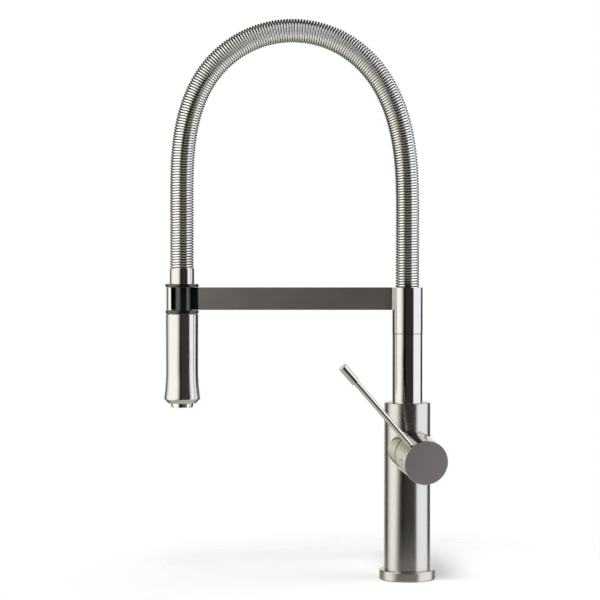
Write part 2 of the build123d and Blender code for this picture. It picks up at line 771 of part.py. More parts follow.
with BuildPart() as handle_screw:
    with BuildSketch(screw_plane.offset(stem_w / 2 + snug)):
        Circle(screw_r)
    extrude(amount=screw_len)
    with BuildSketch(screw_plane.offset(stem_w / 2 + snug + screw_len)):
        RegularPolygon(screw_hex / 2, 6, major_radius=False)
    extrude(amount=-screw_hex_depth, mode=Mode.SUBTRACT)
handle_screw.part.label = "handle_screw"
export_step(handle_screw.part, "parts/handle_screw.step")

lever_end = barrel_r + lever_len
with BuildPart() as lever_rod:
    with BuildSketch(lever_hole_plane.offset(lever_root)):
        Circle(lever_d / 2)
    extrude(amount=lever_end - lever_tip_len - lever_root)
    with BuildSketch(lever_hole_plane.offset(lever_end - lever_tip_len)):
        Circle(lever_tip_d / 2)
    extrude(amount=lever_tip_len)
    tip_rims = lever_rod.edges().filter_by(GeomType.CIRCLE)
    chamfer(tip_rims.filter_by(lambda e: abs(e.radius - lever_tip_d / 2) < match), lever_chamfer)
lever_rod.part.label = "lever_rod"
export_step(lever_rod.part, "parts/lever_rod.step")

with BuildPart() as cold_mark:
    with BuildSketch(mark_plane(1).offset(barrel_r - mark_depth)):
        Circle(mark_r)
    extrude(amount=mark_depth)
cold_mark.part.label = "cold_mark"
export_step(cold_mark.part, "parts/cold_mark.step")

with BuildPart() as hot_mark:
    with BuildSketch(mark_plane(-1).offset(barrel_r - mark_depth)):
        Circle(mark_r)
    extrude(amount=mark_depth)
hot_mark.part.label = "hot_mark"
export_step(hot_mark.part, "parts/hot_mark.step")

# ================================================================ docking arm
with BuildPart() as arm_sleeve:
    with BuildSketch(Plane.XY.offset(sleeve_bottom_z)):
        Circle(sleeve_r)
        Circle(sleeve_bore_r, mode=Mode.SUBTRACT)
    extrude(amount=arm_top_z - sleeve_bottom_z)
arm_sleeve.part.label = "arm_sleeve"
export_step(arm_sleeve.part, "parts/arm_sleeve.step")

# bar and clasp in one: the plan is drawn once and raised to the arm's height
with BuildPart() as docking_arm:
    with BuildSketch(Plane.XY.offset(arm_bottom_z)) as arm_plan:
        Circle(sleeve_r)
        with Locations((-reach, 0)):
            Circle(clasp_r)
        with Locations((-reach / 2, 0)):
            Rectangle(reach, arm_t)
        corners = arm_plan.vertices().filter_by(lambda v: abs(abs(v.Y) - arm_t / 2) < match)
        fillet(corners, arm_fillet)
        Circle(sleeve_r, mode=Mode.SUBTRACT)
        with Locations((-reach, 0)):
            Circle(clasp_bore_r, mode=Mode.SUBTRACT)
        # the mouth, in front of the bar and right of the free end
        mouth_w = clasp_mouth + clasp_r + 2 * arm_fillet
        with Locations((-reach - clasp_mouth + mouth_w / 2, -arm_t / 2 - clasp_r / 2)):
            Rectangle(mouth_w, clasp_r, mode=Mode.SUBTRACT)
        free_end = arm_plan.vertices().filter_by(lambda v: abs(v.X + reach + clasp_mouth) < match)
        fillet(free_end, clasp_end_edge)
        # the bar's front corner makes room for the liner's pad, and is bevelled beside it
        pad_x = pad_reach - reach
        with BuildLine():
            Polyline(
                (-reach, -arm_t / 2 + pad_depth),
                (pad_x, -arm_t / 2 + pad_depth),
                (pad_x, -arm_t / 2 + clasp_bevel),
                (pad_x + clasp_bevel, -arm_t / 2),
                (pad_x + clasp_bevel, -arm_t / 2 - beyond),
                (-reach, -arm_t / 2 - beyond),
                close=True,
            )
        make_face(mode=Mode.SUBTRACT)
    extrude(amount=arm_h)
docking_arm.part.label = "docking_arm"
export_step(docking_arm.part, "parts/docking_arm.step")

pad_w = pad_reach - snug - liner_bore_r
pad_t = pad_depth - snug - clasp_bevel
with BuildPart() as clasp_liner:
    with BuildSketch(head_plane.offset(arm_bottom_z)):
        Circle(clasp_bore_r - snug)
        Circle(liner_bore_r, mode=Mode.SUBTRACT)
        with Locations((0, -clasp_r / 2)):
            Rectangle(2 * liner_bore_r, clasp_r, mode=Mode.SUBTRACT)
        with Locations((0, -arm_t / 2 + pad_depth - snug - clasp_r / 2)):
            Rectangle(2 * clasp_r, clasp_r, mode=Mode.SUBTRACT)
        with Locations((liner_bore_r + pad_w / 2, -arm_t / 2 + clasp_bevel + pad_t / 2)):
            Rectangle(pad_w, pad_t)
    extrude(amount=arm_h)
clasp_liner.part.label = "clasp_liner"
export_step(clasp_liner.part, "parts/clasp_liner.step")

lower_bush_z = post_top_z + slip_ring_t + bush_gap
with BuildPart() as lower_bush:
    with BuildSketch(Plane.XY.offset(lower_bush_z)):
        Circle(sleeve_bore_r - snug)
        Circle(journal_r + running, mode=Mode.SUBTRACT)
    extrude(amount=bush_h)
lower_bush.part.label = "lower_bush"
export_step(lower_bush.part, "parts/lower_bush.step")

with BuildPart() as upper_bush:
    with BuildSketch(Plane.XY.offset(clip_z - film)):
        Circle(sleeve_bore_r - snug)
        Circle(journal_r + running, mode=Mode.SUBTRACT)
    extrude(amount=-bush_h)
upper_bush.part.label = "upper_bush"
export_step(upper_bush.part, "parts/upper_bush.step")

# ================================================================ spring neck
nut_bottom_z = journal_top_z + nut_gap
with BuildPart() as hose_base_nut:
    with BuildSketch(Plane.XY.offset(nut_bottom_z)):
        Circle(nut_r)
    extrude(amount=hose_start_z - nut_bottom_z)
    with BuildSketch(Plane.XY.offset(nut_bottom_z)):
        Circle(neck_r + running)
    extrude(amount=neck_top_z + free - nut_bottom_z, mode=Mode.SUBTRACT)
    with BuildSketch(Plane.XY.offset(nut_bottom_z)):
        Circle(hose_bore_r)
    extrude(amount=hose_start_z - nut_bottom_z, mode=Mode.SUBTRACT)
hose_base_nut.part.label = "hose_base_nut"
export_step(hose_base_nut.part, "parts/hose_base_nut.step")

seat_top_z = hose_start_z + seat_lip
with BuildPart() as spring_seat:
    with BuildSketch(Plane.XY.offset(seat_top_z)):
        Circle(sleeve_bore_r - film)
        Circle(hose_r + film, mode=Mode.SUBTRACT)
    extrude(amount=-seat_h)
    with BuildSketch(Plane.XY.offset(hose_start_z)):
        Circle(nut_r + snug)
    extrude(amount=-seat_h, mode=Mode.SUBTRACT)
spring_seat.part.label = "spring_seat"
export_step(spring_seat.part, "parts/spring_seat.step")

hose_spans = 10  # each is one pair of arcs
with BuildPart() as hose:
    with BuildLine() as hose_route:
        Line(centre(hose_start_z - arch_start_z), centre(0))
        for i in range(hose_spans):
            s0 = arch_length * i / hose_spans
            s1 = arch_length * (i + 1) / hose_spans
            h0 = heading(s0)
            h1 = heading(s1)
            biarc(centre(s0), Vector(-sin(h0), 0, cos(h0)), centre(s1), Vector(-sin(h1), 0, cos(h1)))
        Line(centre(arch_length), centre(arch_length + arch_end_z - hose_end_z))
    with BuildSketch(Plane.XY.offset(hose_start_z)):
        Circle(hose_r)
        Circle(hose_bore_r, mode=Mode.SUBTRACT)
    sweep(path=hose_route.wire())
hose.part.label = "hose"
export_step(hose.part, "parts/hose.step")

# The coil's centreline winds round the hose's route: outwards in the arch's
# plane by the cosine and along Y by the sine of the turn it has made. Its ends
# stand square on the seat and on the ferrule.
coil_start = seat_top_z - arch_start_z + wire_d + end_climb
coil_end = arch_length + arch_end_z - ferrule_top_z - wire_d - end_climb
coil_rate = 2 * pi * spring_turns / (coil_end - coil_start)


def coil_point(s):
    turn = (s - coil_start) * coil_rate + pi / 2
    outward = Vector(cos(heading(s)), 0, sin(heading(s)))
    return centre(s) + outward * (coil_r * cos(turn)) + Vector(0, coil_r * sin(turn), 0)


def coil_direction(s):
    turn = (s - coil_start) * coil_rate + pi / 2
    outward = Vector(cos(heading(s)), 0, sin(heading(s)))
    along = Vector(-sin(heading(s)), 0, cos(heading(s)))
    pace = along * (1 + coil_r * bend(s) * cos(turn))
    pace += (Vector(0, 1, 0) * cos(turn) - outward * sin(turn)) * (coil_r * coil_rate)
    return pace.normalized()


half_turns = 2 * spring_turns
foot_start = Vector(coil_r, 0, seat_top_z)
foot_end = Vector(-reach + coil_r, 0, ferrule_top_z)
rise = Vector(0, 0, wire_d)
with BuildPart() as spring:
    with BuildLine() as coil_route:
        Line(foot_start, foot_start + rise)
        biarc(foot_start + rise, Vector(0, 0, 1), coil_point(coil_start), coil_direction(coil_start))
        for i in range(half_turns):
            s0 = coil_start + (coil_end - coil_start) * i / half_turns
            s1 = coil_start + (coil_end - coil_start) * (i + 1) / half_turns
            biarc(coil_point(s0), coil_direction(s0), coil_point(s1), coil_direction(s1))
        biarc(coil_point(coil_end), coil_direction(coil_end), foot_end + rise, Vector(0, 0, -1))
        Line(foot_end + rise, foot_end)
    with BuildSketch(Plane(foot_start, z_dir=(0, 0, 1))):
        Circle(wire_r)
    sweep(path=coil_route.wire())
spring.part.label = "spring"
export_step(spring.part, "parts/spring.step")

arc_points = 8
wire_points = [e.position_at(i / arc_points) for e in coil_route.wire().edges() for i in range(arc_points)]
wire_points = np.array([tuple(p) for p in wire_points])
per_turn = 4 * arc_points
least = min(
    np.linalg.norm(wire_points[lag:] - wire_points[:-lag], axis=1).min()
    for lag in range(per_turn // 2, 3 * per_turn // 2)
)
print(f"spring: least gap between neighbouring turns {least - wire_d:.2f} mm")
tightest = min(e.radius for e in coil_route.edges() if e.geom_type == GeomType.CIRCLE)
print(f"spring: tightest bend {tightest:.2f} mm")
spring_expected = pi * wire_r**2 * coil_route.wire().length
print(f"spring: volume {spring.part.volume:.0f}, section times length {spring_expected:.0f}")
hose_expected = pi * (hose_r**2 - hose_bore_r**2) * hose_route.wire().length
print(f"hose: volume {hose.part.volume:.0f}, section times length {hose_expected:.0f}")

with BuildPart() as spring_ferrule:
    with BuildSketch(head_plane.offset(spool_top_z)):
        Circle(ferrule_r)
    extrude(amount=ferrule_h)
    fillet(spring_ferrule.faces().sort_by(Axis.Z)[-1].edges(), ferrule_edge)
    with BuildSketch(head_plane.offset(spool_top_z)):
        Circle(hose_r + film)
    extrude(amount=ferrule_h, mode=Mode.SUBTRACT)
spring_ferrule.part.label = "spring_ferrule"
export_step(spring_ferrule.part, "parts/spring_ferrule.step")

with BuildPart() as dock_spool:
    with BuildSketch(head_plane.offset(spool_bottom_z)):
        Circle(spool_low_r)
    extrude(amount=spool_low_t)
    with BuildSketch(head_plane.offset(spool_groove_top_z)):
        Circle(spool_top_r)
    extrude(amount=spool_top_t)
    rims = dock_spool.edges().filter_by(GeomType.CIRCLE)
    fillet(rims, spool_edge)
    with BuildSketch(head_plane.offset(spool_groove_bottom_z)):
        Circle(spool_core_r)
    extrude(amount=spool_groove_top_z - spool_groove_bottom_z)
    with BuildSketch(head_plane.offset(spool_bottom_z)):
        Circle(hose_r + film)
    extrude(amount=spool_top_z - spool_bottom_z, mode=Mode.SUBTRACT)
dock_spool.part.label = "dock_spool"
export_step(dock_spool.part, "parts/dock_spool.step")

with BuildPart() as swivel_stem:
    with BuildSketch(head_plane.offset(hose_end_z)):
        Circle(hose_r)
    extrude(amount=-fitting_collar_h)
    with BuildSketch(head_plane.offset(hose_end_z)):
        Circle(stem_r)
    extrude(amount=stem_bottom_z - hose_end_z)
    with BuildSketch(head_plane.offset(stem_bottom_z)):
        Circle(stem_flange_r)
    extrude(amount=stem_flange_h)
    with BuildSketch(head_plane.offset(stem_bottom_z + stem_flange_h / 2 - oring_d / 2 - film)):
        Circle(stem_flange_r + beyond)
        Circle(stem_flange_r - oring_d, mode=Mode.SUBTRACT)
    extrude(amount=oring_d + 2 * film, mode=Mode.SUBTRACT)
    with BuildSketch(head_plane.offset(stem_bottom_z)):
        Circle(stem_bore_r)
    extrude(amount=hose_end_z - stem_bottom_z, mode=Mode.SUBTRACT)
swivel_stem.part.label = "swivel_stem"
export_step(swivel_stem.part, "parts/swivel_stem.step")

with BuildPart() as swivel_oring:
    with BuildSketch(head_section):
        with Locations((stem_flange_r - oring_d / 2, stem_bottom_z + stem_flange_h / 2)):
            Circle(oring_d / 2 - oring_play)
    revolve(axis=head_axis)
swivel_oring.part.label = "swivel_oring"
export_step(swivel_oring.part, "parts/swivel_oring.step")

# ================================================================ spray head
flare = bell_r - waist_r
flare_drop = waist_z - bell_z
flare_r = (flare_drop**2 + flare**2) / (2 * flare)
flare_turn = asin(flare_drop / flare_r)
with BuildPart() as head_shell:
    with BuildSketch(head_section):
        with BuildLine():
            Line((0, head_top_z), (head_top_r, head_top_z))
            Line((head_top_r, head_top_z), (waist_r, waist_z))
            ThreePointArc(
                (waist_r, waist_z),
                (waist_r + flare_r * (1 - cos(flare_turn / 2)), waist_z - flare_r * sin(flare_turn / 2)),
                (bell_r, bell_z),
            )
            Line((bell_r, bell_z), (bell_under_r, head_bottom_z))
            Line((bell_under_r, head_bottom_z), (0, head_bottom_z))
            Line((0, head_bottom_z), (0, head_top_z))
        make_face()
    revolve(axis=head_axis)
    outer_rims = head_shell.edges().filter_by(GeomType.CIRCLE).sort_by(Axis.Z)
    fillet(outer_rims[-1], head_edge)
    fillet(outer_rims.filter_by(lambda e: abs(e.radius - bell_r) < match), bell_edge)
    with BuildSketch(head_plane.offset(head_lip_z)):
        Circle(head_bore_r)
    extrude(amount=head_top_z - head_roof - head_lip_z, mode=Mode.SUBTRACT)
    with BuildSketch(head_plane.offset(head_bottom_z)):
        Circle(nozzle_r + snug)
    extrude(amount=head_lip_z - head_bottom_z, mode=Mode.SUBTRACT)
    with BuildSketch(head_plane.offset(head_top_z)):
        Circle(stem_r + roof_play)
    extrude(amount=-head_roof, mode=Mode.SUBTRACT)
head_shell.part.label = "head_shell"
export_step(head_shell.part, "parts/head_shell.step")

head_nut_bottom_z = stem_flange_top_z + free
with BuildPart() as head_nut:
    with BuildSketch(head_plane.offset(head_nut_bottom_z)):
        Circle(head_bore_r - snug)
        Circle(stem_r + running, mode=Mode.SUBTRACT)
    extrude(amount=head_top_z - head_roof - head_nut_bottom_z)
head_nut.part.label = "head_nut"
export_step(head_nut.part, "parts/head_nut.step")

washer_z = head_lip_z + nozzle_flange_h
channel_bottom_z = washer_z + washer_h
valve_z = channel_bottom_z + valve_rise
with BuildPart() as head_channel:
    with BuildSketch(head_plane.offset(channel_bottom_z)):
        Circle(head_bore_r - snug)
    extrude(amount=head_nut_bottom_z - channel_bottom_z)
    with BuildSketch(head_plane.offset(head_nut_bottom_z)):
        Circle(stem_flange_r + running)
    extrude(amount=-(stem_flange_h + 2 * free), mode=Mode.SUBTRACT)
    with BuildSketch(head_plane.offset(head_nut_bottom_z)):
        Circle(stem_bore_r)
    extrude(amount=channel_bottom_z - head_nut_bottom_z, mode=Mode.SUBTRACT)
    with BuildSketch(head_plane.offset(channel_bottom_z)):
        Circle(valve_r + snug)
    extrude(amount=valve_z + valve_h - channel_bottom_z, mode=Mode.SUBTRACT)
    with BuildSketch(head_plane.offset(channel_bottom_z)):
        Circle(nozzle_bore_r)
    extrude(amount=nozzle_flange_h, mode=Mode.SUBTRACT)
head_channel.part.label = "head_channel"
export_step(head_channel.part, "parts/head_channel.step")

with BuildPart() as check_valve:
    with BuildSketch(head_plane.offset(valve_z)):
        Circle(valve_r)
        Circle(stem_bore_r, mode=Mode.SUBTRACT)
    extrude(amount=valve_h)
check_valve.part.label = "check_valve"
export_step(check_valve.part, "parts/check_valve.step")

with BuildPart() as nozzle_washer:
    with BuildSketch(head_plane.offset(washer_z)):
        Circle(head_bore_r - snug)
        Circle(nozzle_bore_r, mode=Mode.SUBTRACT)
    extrude(amount=washer_h)
nozzle_washer.part.label = "nozzle_washer"
export_step(nozzle_washer.part, "parts/nozzle_washer.step")

with BuildPart() as nozzle_ring:
    with BuildSketch(head_section):
        with BuildLine():
            Polyline(
                (0, washer_z),
                (head_bore_r - snug, washer_z),
                (head_bore_r - snug, head_lip_z),
                (nozzle_r, head_lip_z),
                (nozzle_r, head_bottom_z),
                (nozzle_tip_r, nozzle_bottom_z),
                (0, nozzle_bottom_z),
                close=True,
            )
        make_face()
    revolve(axis=head_axis)
    fillet(nozzle_ring.faces().sort_by(Axis.Z)[0].edges(), head_edge)
    with BuildSketch(head_plane.offset(nozzle_bottom_z)):
        Circle(nozzle_bore_r)
    extrude(amount=washer_z - nozzle_bottom_z, mode=Mode.SUBTRACT)
nozzle_ring.part.label = "nozzle_ring"
export_step(nozzle_ring.part, "parts/nozzle_ring.step")


def drill_rings(rings, counts, hole_r):
    """Holes on rings round the nozzle's axis, with a count for each ring."""
    for ring_r, count in zip(rings, counts):
        with PolarLocations(ring_r, count):
            Circle(hole_r, mode=Mode.SUBTRACT)


face_z = nozzle_bottom_z + face_recess
with BuildPart() as spray_face:
    with BuildSketch(head_plane.offset(face_z)):
        Circle(nozzle_bore_r - snug)
        drill_rings(jet_rings, jet_counts, jet_r)
    extrude(amount=face_t)
spray_face.part.label = "spray_face"
export_step(spray_face.part, "parts/spray_face.step")

with BuildPart() as flow_former:
    with BuildSketch(head_plane.offset(face_z + face_t)):
        Circle(nozzle_bore_r - snug)
        drill_rings(former_rings, former_hole_counts, former_hole_r)
    extrude(amount=former_h)
flow_former.part.label = "flow_former"
export_step(flow_former.part, "parts/flow_former.step")

print(f"arch radius {arch_r:.1f}, length {arch_length:.1f}, ends at z {arch_end_z:.1f}")
print("tilt axis", tuple(round(c, 6) for c in tilt_dir), "through", tuple(tilt_plane.origin))
print("barrel direction", tuple(round(c, 6) for c in barrel_dir))
print("lever direction", tuple(round(c, 6) for c in lever_dir))
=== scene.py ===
import json
from math import atan, hypot, pi, radians

import bpy
import numpy as np
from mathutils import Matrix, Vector


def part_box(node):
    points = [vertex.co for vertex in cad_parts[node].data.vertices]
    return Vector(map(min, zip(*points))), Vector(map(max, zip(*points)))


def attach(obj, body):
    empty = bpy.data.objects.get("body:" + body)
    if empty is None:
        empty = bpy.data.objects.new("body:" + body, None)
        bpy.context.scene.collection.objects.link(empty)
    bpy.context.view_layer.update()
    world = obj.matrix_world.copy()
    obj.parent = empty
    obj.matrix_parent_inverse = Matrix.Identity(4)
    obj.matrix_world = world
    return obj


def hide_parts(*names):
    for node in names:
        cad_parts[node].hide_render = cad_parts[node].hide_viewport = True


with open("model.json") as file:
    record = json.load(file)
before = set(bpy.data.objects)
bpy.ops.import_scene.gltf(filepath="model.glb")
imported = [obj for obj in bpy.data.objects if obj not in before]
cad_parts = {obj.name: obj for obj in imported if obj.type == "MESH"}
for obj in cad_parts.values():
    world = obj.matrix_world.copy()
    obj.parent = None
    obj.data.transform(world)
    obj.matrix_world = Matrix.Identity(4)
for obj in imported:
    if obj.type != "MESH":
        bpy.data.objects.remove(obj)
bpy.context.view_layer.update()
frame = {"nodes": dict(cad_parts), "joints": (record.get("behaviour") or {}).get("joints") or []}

# Spring-neck kitchen faucet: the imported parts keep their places, and this script
# gives them their finishes, the fine spring, the studio and the camera.
nodes = frame["nodes"]
joints = {joint["name"]: joint for joint in frame["joints"]}
mm = 0.001
noiseSpan = {1: 0.3, 2: 0.7}  # most of a noise lies between these, as a MapRange's range in
headAxis = Vector(joints["head_spin"]["pos_m"])
barrelAxis = Vector(joints["temperature_turn"]["axis"])
leverAxis = Vector(joints["disc_slide"]["axis"])
print("loaded", len(nodes), "nodes of the faucet")


def linear(hexColour):
    # sRGB hex to linear light: each channel goes through the sRGB curve
    channels = np.array([int(hexColour[i:i + 2], 16) for i in (1, 3, 5)]) / 255
    light = np.where(channels <= 0.04045, channels / 12.92, ((channels + 0.055) / 1.055) ** 2.4)
    return (*light.tolist(), 1.0)


def addNode(tree, kind, settings=None, links=None):
    # one shader node with its properties, socket values and incoming links. Sockets go
    # by name or number: a MapRange has 1 and 2 for its range in, 3 and 4 for that out.
    node = tree.nodes.new("ShaderNode" + kind)
    for key, value in (settings or {}).items():
        if isinstance(key, str) and hasattr(node, key):
            setattr(node, key, value)
        else:
            node.inputs[key].default_value = value
    for key, source in (links or {}).items():
        tree.links.new(source, node.inputs[key])
    return node


# Camera, from the photograph: its scale at the column's axis, how far off it was
# taken, and the rows and columns of what fixes its place.
photo = {
    "side": 600,
    "metresPerPixel": 1.078 * mm,
    "distance": 2000,  # in pixels, which gives the perspective of the barrel's face
    "columnAxis": 407.4,
    "deckRow": 579.5,
    "eyeRow": 246,
    "sensorWidth": 36,  # in millimetres, as Blender takes it
    "farthest": 50,  # metres that the camera sees
}


def placeCamera():
    scale = photo["metresPerPixel"]
    middle = photo["side"] / 2
    lens = bpy.data.cameras.new("photoCamera")
    lens.sensor_width = photo["sensorWidth"]
    lens.lens = photo["sensorWidth"] * photo["distance"] / photo["side"]
    lens.clip_end = photo["farthest"]
    camera = bpy.data.objects.new("photoCamera", lens)
    camera.location = (
        (middle - photo["columnAxis"]) * scale,
        -photo["distance"] * scale,
        (photo["deckRow"] - photo["eyeRow"]) * scale,
    )
    camera.rotation_euler = (pi / 2 - atan((middle - photo["eyeRow"]) / photo["distance"]), 0, 0)
    bpy.context.scene.collection.objects.link(camera)
    bpy.context.scene.camera = camera


placeCamera()
print("camera placed")

# Studio: a tall diffuser on each side, a soft lamp above that the metal doesn't show, a
# pale floor that fades out, and a white backdrop behind the object in a dark room with
# one soft window. Each diffuser stands on the plan from "near" to "far". Its glow comes
# up between the metres "rise" along it, which lie "lean" metres nearer for each metre of
# height up to "leanTop", and past the metres "hold" it falls by the share "fall". Where
# it is dim it takes the colour "edge".
#
# Around them a direction is told by its cosine, which is 1 towards the middle of the
# backdrop or the window, and by its height, which is 1 straight up. In each pair the
# first number is where a patch begins and the second where it is full.
studio = {
    "leftBox": {
        "near": (-0.255, -0.928), "far": (-1.037, 0.622), "colour": "#fffefd", "edge": "#e2dcc4",
        "radiance": 1.40, "rise": (0.34, 0.78), "lean": 0.60, "hold": 0.965, "fall": 0.92,
    },
    "rightBox": {
        "near": (0.391, -0.483), "far": (0.95, 0.50), "colour": "#f6f6ff", "edge": "#d8d4d8",
        "radiance": 1.43, "rise": (0.0, 0.11), "lean": 0.0, "hold": 0.90, "fall": 0.30,
    },
    "boxBottom": -0.60,
    "boxTop": 1.45,
    "leanTop": 0.25,
    "lampPlace": (-0.5, -1.3, 1.9),
    "lampTarget": (-0.1, 0, 0.25),
    "lampSize": 1.2,
    "lampPower": 100,
    "roomColour": "#393633",
    "backdropColour": "#f5f5ed",
    "backdropMiddle": (-0.096, 0.995, 0),  # direction from the object
    "backdropCosines": (0.835, 0.875),
    "backdropDrop": 0.32,  # share by which it is darker a little below level
    "dropHeights": (-0.17, 0.02),
    "windowMiddle": (0.70, 0.57, 0.43),  # high at the back, to outline the lever
    "windowCosines": (0.875, 0.94),
    "windowShare": 0.4,  # of the backdrop's light
    "underColour": "#c6c3b0",  # steeply below, where a counter top would be
    "underHeights": (-0.45, -0.80),
    "floorColour": "#f6f5f3",
    "floorSolid": 0.05,  # inside this distance from the column the floor is opaque
    "floorGone": 0.95,  # share of the radius past which it is clear
    "floorRadius": 0.42,
    "floorSides": 96,
    "floorSheen": 0.22,  # share of the floor that the metal shows
}


def addSoftbox(name, box):
    # upright panel whose map holds the metres along it and the metres up
    xs, ys = zip(box["near"], box["far"])
    low, high = studio["boxBottom"], studio["boxTop"]
    width = hypot(xs[1] - xs[0], ys[1] - ys[0])
    corners = [(xs[0], ys[0], low), (xs[1], ys[1], low), (xs[1], ys[1], high), (xs[0], ys[0], high)]
    mesh = bpy.data.meshes.new(name)
    mesh.from_pydata(corners, [], [(0, 1, 2, 3)])
    metresMap = mesh.uv_layers.new(name="metres")
    metresMap.data.foreach_set("uv", [0, low, width, low, width, high, 0, high])
    material = bpy.data.materials.new(name)
    material.use_nodes = True
    tree = material.node_tree
    tree.nodes.clear()
    metres = addNode(tree, "UVMap", {"uv_map": "metres"}).outputs[0]
    along = addNode(tree, "SeparateXYZ", links={0: metres})
    height = addNode(
        tree, "Math", {"operation": "MINIMUM", 1: studio["leanTop"]}, {0: along.outputs[1]}
    )
    nearer = addNode(
        tree, "Math", {"operation": "MULTIPLY_ADD", 1: box["lean"]},
        {0: height.outputs[0], 2: along.outputs[0]},
    )
    rise = addNode(
        tree, "MapRange", {"interpolation_type": "SMOOTHSTEP", 1: box["rise"][0], 2: box["rise"][1]},
        {0: nearer.outputs[0]},
    )
    fall = addNode(
        tree, "MapRange",
        {"interpolation_type": "SMOOTHSTEP", 1: box["hold"], 2: width, 3: 1.0, 4: 1 - box["fall"]},
        {0: along.outputs[0]},
    )
    glow = addNode(tree, "Math", {"operation": "MULTIPLY"}, {0: rise.outputs[0], 1: fall.outputs[0]})
    colour = addNode(
        tree, "Mix", {"data_type": "RGBA", 6: linear(box["edge"]), 7: linear(box["colour"])},
        {0: glow.outputs[0]},
    )
    radiance = addNode(
        tree, "Math", {"operation": "MULTIPLY", 1: box["radiance"]}, {0: glow.outputs[0]}
    )
    light = addNode(
        tree, "Emission", links={"Color": colour.outputs[2], "Strength": radiance.outputs[0]}
    )
    addNode(tree, "OutputMaterial", links={"Surface": light.outputs[0]})
    mesh.materials.append(material)
    panel = bpy.data.objects.new(name, mesh)
    panel.visible_camera = False
    bpy.context.scene.collection.objects.link(panel)


def addTopLamp():
    lamp = bpy.data.lights.new("topLamp", "AREA")
    lamp.size = studio["lampSize"]
    lamp.energy = studio["lampPower"]
    holder = bpy.data.objects.new("topLamp", lamp)
    holder.location = studio["lampPlace"]
    aim = Vector(studio["lampTarget"]) - Vector(studio["lampPlace"])
    holder.rotation_euler = aim.to_track_quat("-Z", "Y").to_euler()
    holder.visible_camera = False
    holder.visible_glossy = False
    bpy.context.scene.collection.objects.link(holder)


def paintWorld():
    # White to the camera and through glass. In reflections and as light it is white
    # behind the object, where the backdrop is, and in the window, beige steeply below,
    # and dim elsewhere.
    world = bpy.data.worlds.new("studio")
    world.use_nodes = True
    bpy.context.scene.world = world
    tree = world.node_tree
    tree.nodes.clear()
    direction = addNode(tree, "TexCoord").outputs["Generated"]
    axes = addNode(tree, "SeparateXYZ", links={"Vector": direction})
    towards = addNode(
        tree, "VectorMath", {"operation": "DOT_PRODUCT", 1: studio["backdropMiddle"]}, {0: direction}
    )
    begins, full = studio["backdropCosines"]
    backness = addNode(
        tree, "MapRange", {"interpolation_type": "SMOOTHSTEP", 1: begins, 2: full},
        {0: towards.outputs["Value"]},
    )
    begins, full = studio["dropHeights"]
    upness = addNode(
        tree, "MapRange", {1: begins, 2: full, 3: 1 - studio["backdropDrop"]}, {0: axes.outputs["Z"]}
    )
    backdrop = addNode(
        tree, "Math", {"operation": "MULTIPLY"}, {0: backness.outputs[0], 1: upness.outputs[0]}
    )
    windowwards = addNode(
        tree, "VectorMath", {"operation": "DOT_PRODUCT", 1: studio["windowMiddle"]}, {0: direction}
    )
    begins, full = studio["windowCosines"]
    window = addNode(
        tree, "MapRange",
        {"interpolation_type": "SMOOTHSTEP", 1: begins, 2: full, 4: studio["windowShare"]},
        {0: windowwards.outputs["Value"]},
    )
    white = addNode(
        tree, "Math", {"operation": "MAXIMUM"}, {0: backdrop.outputs[0], 1: window.outputs[0]}
    )
    room = addNode(
        tree, "Mix",
        {"data_type": "RGBA", 6: linear(studio["roomColour"]), 7: linear(studio["backdropColour"])},
        {0: white.outputs[0]},
    )
    begins, full = studio["underHeights"]
    steepness = addNode(
        tree, "MapRange", {"interpolation_type": "SMOOTHSTEP", 1: begins, 2: full},
        {0: axes.outputs["Z"]},
    )
    around = addNode(
        tree, "Mix", {"data_type": "RGBA", 7: linear(studio["underColour"])},
        {0: steepness.outputs[0], 6: room.outputs[2]},
    )
    path = addNode(tree, "LightPath")
    seen = addNode(
        tree, "Math", {"operation": "MAXIMUM"},
        {0: path.outputs["Is Camera Ray"], 1: path.outputs["Is Transmission Ray"]},
    )
    colour = addNode(
        tree, "Mix", {"data_type": "RGBA", 7: linear("#ffffff")},
        {0: seen.outputs[0], 6: around.outputs[2]},
    )
    light = addNode(tree, "Background", {"Strength": 1.0}, {"Color": colour.outputs[2]})
    addNode(tree, "OutputWorld", links={"Surface": light.outputs[0]})


def layFloor():
    # disc that is seen through more and more towards its rim
    size = studio["floorRadius"]
    bpy.ops.mesh.primitive_circle_add(vertices=studio["floorSides"], radius=size, fill_type="TRIFAN")
    floor = bpy.context.object
    floor.name = "studioFloor"
    material = bpy.data.materials.new("floorPaper")
    material.use_nodes = True
    tree = material.node_tree
    tree.nodes.clear()
    place = addNode(tree, "TexCoord").outputs["Object"]
    distance = addNode(tree, "VectorMath", {"operation": "LENGTH"}, {0: place})
    fade = addNode(
        tree, "MapRange",
        {"interpolation_type": "SMOOTHSTEP", 1: studio["floorSolid"], 2: size * studio["floorGone"]},
        {0: distance.outputs["Value"]},
    )
    glossy = addNode(tree, "LightPath").outputs["Is Glossy Ray"]
    sheen = addNode(tree, "MapRange", {3: 1.0, 4: studio["floorSheen"]}, {0: glossy})
    solid = addNode(tree, "Math", {"operation": "SUBTRACT", 0: 1.0}, {1: fade.outputs[0]})
    shown = addNode(tree, "Math", {"operation": "MULTIPLY"}, {0: solid.outputs[0], 1: sheen.outputs[0]})
    paper = addNode(tree, "BsdfDiffuse", {"Color": linear(studio["floorColour"])})
    clear = addNode(tree, "BsdfTransparent")
    both = addNode(
        tree, "MixShader", links={0: shown.outputs[0], 1: clear.outputs[0], 2: paper.outputs[0]}
    )
    addNode(tree, "OutputMaterial", links={"Surface": both.outputs[0]})
    floor.data.materials.append(material)


addSoftbox("leftSoftbox", studio["leftBox"])
addSoftbox("rightSoftbox", studio["rightBox"])
addTopLamp()
paintWorld()
layFloor()
bpy.context.scene.view_settings.view_transform = "Standard"
print("studio lit")


